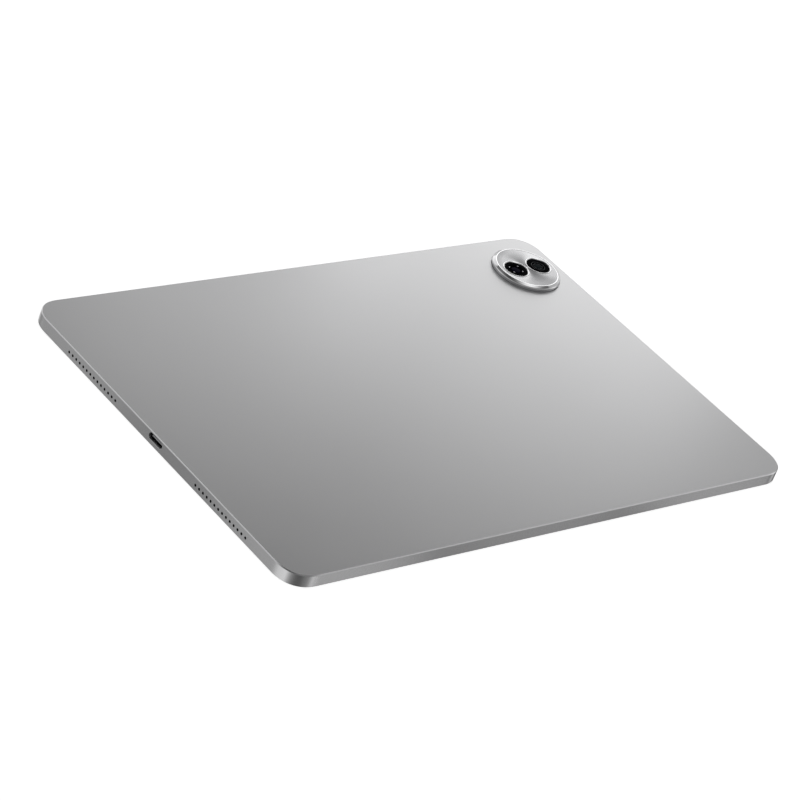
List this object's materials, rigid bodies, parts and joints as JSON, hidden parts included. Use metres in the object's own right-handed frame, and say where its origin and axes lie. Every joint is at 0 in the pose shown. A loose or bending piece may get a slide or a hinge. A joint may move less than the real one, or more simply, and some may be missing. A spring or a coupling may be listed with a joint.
{
  "type": "tablet computer",
  "caption": "Thin metal tablet computer with a glass front, a round camera bump on the back, a USB-C socket, rows of sound holes, a power button and a volume rocker.",
  "frame": {"origin": "middle of the glass front, which lies on z = 0", "axes": "+Z out of the aluminium back; X along the long edge, with the USB-C socket on the -X short edge; +Y towards the long edge beside the camera bump"},
  "size_m": [0.2749, 0.1809, 0.0082],
  "materials": {
    "satin_aluminium": "fine bead-blasted, satin anodised silver",
    "polished_aluminium": "polished",
    "spun_aluminium": "spun with fine concentric lines",
    "front_glass": "glossy, black-backed",
    "lens_glass": "coated lens cover, black-backed",
    "screen_panel": "dark when off",
    "black_plastic": "moulded",
    "circuit_board": "solder mask",
    "cell_foil": "laminated foil pouch",
    "flex_film": "polyimide film",
    "tinned_steel": "pressed and plated",
    "graphite_sheet": "graphite sheet",
    "sound_mesh": "fine woven mesh",
    "screw_steel": "plated",
    "plated_magnet": "nickel plated",
    "sensor_black": "smooth black"
  },
  "bodies": {
    "tablet": {"rear_housing": "satin_aluminium", "cover_glass": "front_glass", "display_panel": "screen_panel", "display_frame": "black_plastic", "camera_ring": "polished_aluminium", "camera_plate": "spun_aluminium", "lens_rim_main": "polished_aluminium", "lens_rim_second": "polished_aluminium", "lens_glass_main": "lens_glass", "lens_glass_second": "lens_glass", "camera_module_main": "sensor_black", "camera_module_second": "sensor_black", "camera_bracket": "tinned_steel", "camera_flex_main": "flex_film", "camera_flex_second": "flex_film", "battery_cell_left": "cell_foil", "battery_cell_right": "cell_foil", "battery_board": "circuit_board", "battery_flex": "flex_film", "main_board": "circuit_board", "usb_board": "circuit_board", "shield_can_processor": "tinned_steel", "shield_can_power": "tinned_steel", "shield_can_radio": "tinned_steel", "heat_spreader": "graphite_sheet", "board_screw_1": "screw_steel", "board_screw_2": "screw_steel", "board_screw_3": "screw_steel", "board_screw_4": "screw_steel", "usb_board_screw_1": "screw_steel", "usb_board_screw_2": "screw_steel", "usb_c_shell": "tinned_steel", "usb_c_tongue": "black_plastic", "link_flex": "flex_film", "display_flex": "flex_film", "speaker_box_left_far": "black_plastic", "speaker_box_left_near": "black_plastic", "speaker_box_right_far": "black_plastic", "speaker_box_right_near": "black_plastic", "speaker_mesh_left_far": "sound_mesh", "speaker_mesh_left_near": "sound_mesh", "speaker_mesh_right_far": "sound_mesh", "speaker_mesh_right_near": "sound_mesh", "power_switch": "tinned_steel", "power_bracket": "tinned_steel", "volume_switch_up": "tinned_steel", "volume_switch_down": "tinned_steel", "volume_bracket": "tinned_steel", "front_camera_module": "sensor_black", "light_sensor": "sensor_black", "microphone_left": "tinned_steel", "microphone_right": "tinned_steel", "antenna_left": "black_plastic", "antenna_right": "black_plastic", "folio_magnet_left": "plated_magnet", "folio_magnet_right": "plated_magnet"},
    "power_key": {"power_button": "satin_aluminium", "power_button_pad": "black_plastic"},
    "volume_key": {"volume_rocker": "satin_aluminium"}
  },
  "joints": [
    {"name": "power_press", "type": "slide", "parent": "tablet", "child": "power_key", "axis": [-1, 0, 0], "range_m": [0, 0.0003], "stiffness_N_per_m": 400, "springref_m": -0.0003},
    {"name": "volume_tip", "type": "hinge", "parent": "tablet", "child": "volume_key", "pos_m": [0.092, 0.09025, 0.003], "axis": [0, 0, 1], "range_deg": [-1.2, 1.2], "stiffness_Nm_per_rad": 0.3}
  ]
}
